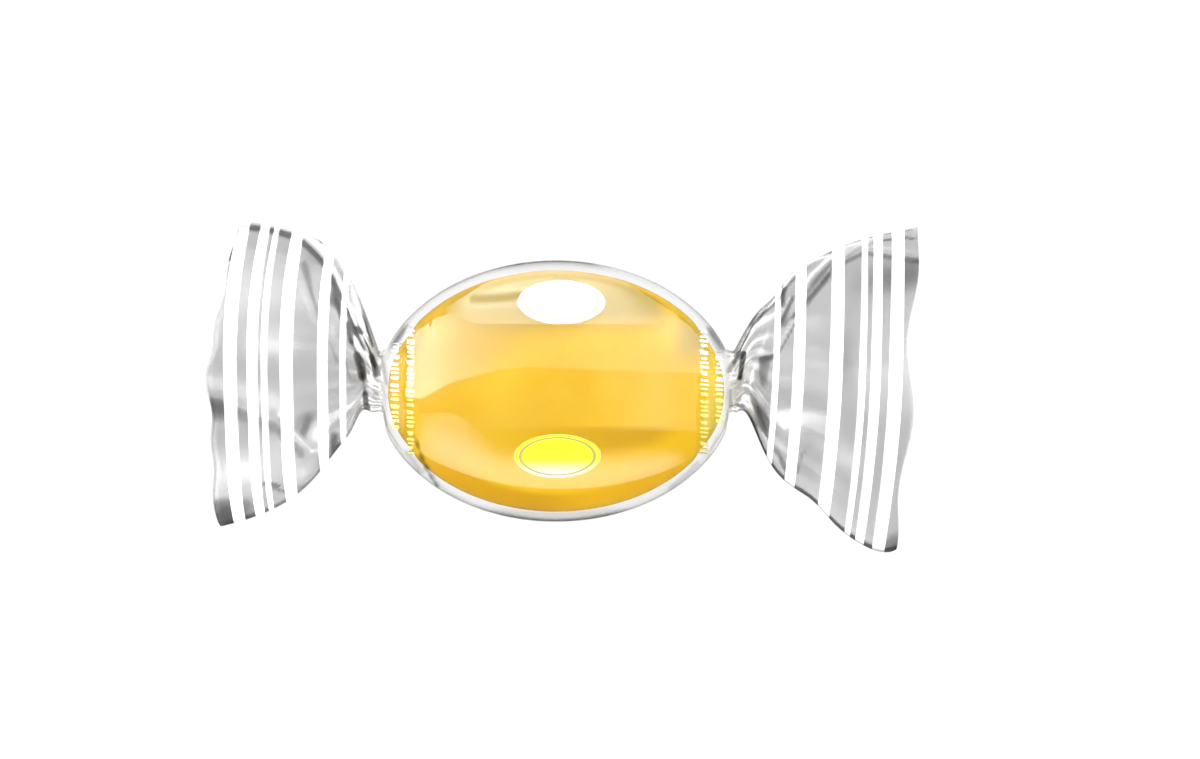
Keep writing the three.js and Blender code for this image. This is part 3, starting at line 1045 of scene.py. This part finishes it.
# %% The upper panel: a band over the middle, brightest at the left
upper_edge = through(
    (-11, -0.7), (-9.8, -0.5), (-8.3, 0.5), (-6.5, 1.05), (-4.2, 1.65), (-2, 1.8), (11, 1.3)
)
cream_edge = through(
    (-11, 4), (-9.8, 4.8), (-8.4, 5.8), (-7.4, 5.4), (-6.3, 5), (7, 5), (9.2, 5.5), (10.2, 4.7), (11, 3.6)
)
upper_middle = through(
    (-9.8, 6.9), (-8.3, 4.8), (-6.5, 3.2), (-4.2, 2.1), (-2, 1.5), (3.3, 2), (5.6, 2.2), (9.7, 2.7)
)


def upper_glow(x, v):
    """The curve above, and up to 2.2 more towards the far right."""
    return upper_middle(x) + 2.2 * ease(x, 6, 10) * v


light_panel("upper_panel", (-11, 11), upper_edge, cream_edge, upper_glow)


# %% The far panel: the cream band behind it
def far_edge(x):
    """rim(0.92) - 0.9*ease(|x|), which follows the outline and is further inside it at both ends."""
    return rim(0.92)(x) - 0.9 * ease(abs(x), 4, 8.5)


def far_glow(x, v):
    """5.5, fading in at the left end and to a half at the far right."""
    return 5.5 * ease(x, -8.6, -7.4) * (1 - 0.5 * ease(x + 4 * v, 6, 10))


light_panel("far_panel", (-8.6, 9.2), cream_edge, far_edge, far_glow)


# %% The lower panel: a band over the near half
def low_top(x):
    """Level at -4.2, and rising by 2.6 towards the left end."""
    return -4.2 + 2.6 * ease(-x, 4, 8)


def low_foot(x):
    """rim(-0.745) - 0.02*x, which follows the outline, a little closer to it at the right."""
    return rim(-0.745)(x) - 0.02 * x


def low_glow(x, v):
    """0.4 + 3.2*ease(v) + 1.4*ease(-x)*(1 - v), so brighter towards the outline and at the left. It fades
    at both ends."""
    bright = 0.4 + 3.2 * ease(v, 0, 0.75) + 1.4 * ease(-x, 5, 8) * (1 - v)
    return bright * ease(x, -10.6, -9.4) * ease(x, 10, 8.4)


light_panel("lower_panel", (-10.6, 10), low_top, low_foot, low_glow)

# %% The panels of the two ends
END_RIM = 0.5
END_GLOW = 1.5
light_panel("left_panel", (-12.6, -11.3), rim(-END_RIM), rim(END_RIM), lambda x, v: END_GLOW)
light_panel("right_panel", (11.1, 12.6), rim(-END_RIM), rim(END_RIM), lambda x, v: END_GLOW)

# %% The ceiling between the two bands, faint at the left
CEILING_START = -2.9
PANEL_GAP = 0.05
ceiling_middle = through((3, 0.4), (7.8, 1.7), (9.7, 1.2))


def ceiling_start(x):
    """Level, and just above the lower panel's edge where that is higher, so that the two don't cross."""
    return np.maximum(CEILING_START, low_top(x) + PANEL_GAP)


light_panel("ceiling_panel", (-10.6, 10.5), ceiling_start, upper_edge, lambda x, v: ceiling_middle(x))

# %% A lamp that fills in the light from the near right, unseen in the film
FILL_PLACE = Vector((0.25, -0.2, 0.35))  # metres
FILL_SIZE = 0.3
FILL_WATTS = 0.15

lamp = bpy.data.lights.new("fill", "AREA")
lamp.size = FILL_SIZE
lamp.energy = FILL_WATTS
fill = bpy.data.objects.new("fill", lamp)
fill.location = FILL_PLACE
fill.rotation_euler = (-FILL_PLACE).to_track_quat("-Z", "Y").to_euler()
fill.visible_camera = False
fill.visible_glossy = False
bpy.context.scene.collection.objects.link(fill)

# %% The grey studio round it
STUDIO_GREY = (0.7, 0.7, 0.7, 1)
STUDIO_STRENGTH = 0.25

world = bpy.data.worlds.new("studio")
world.use_nodes = True
studio = world.node_tree.nodes["Background"].inputs
studio["Color"].default_value = STUDIO_GREY
studio["Strength"].default_value = STUDIO_STRENGTH
bpy.context.scene.world = world

# %% [markdown]
# ## How far light is followed
#
# White has to stay white, so the colours are shown as they are worked out, without a film-like curve. A
# ray may pass through many walls of the film, but needs few bounces, because the sugar's own light is soft.

# %% Colour and depth of the render
bpy.context.scene.view_settings.view_transform = "Standard"
cycles = bpy.context.scene.cycles
cycles.transparent_max_bounces = 32
cycles.max_bounces = 5
cycles.diffuse_bounces = 1
cycles.use_light_tree = False
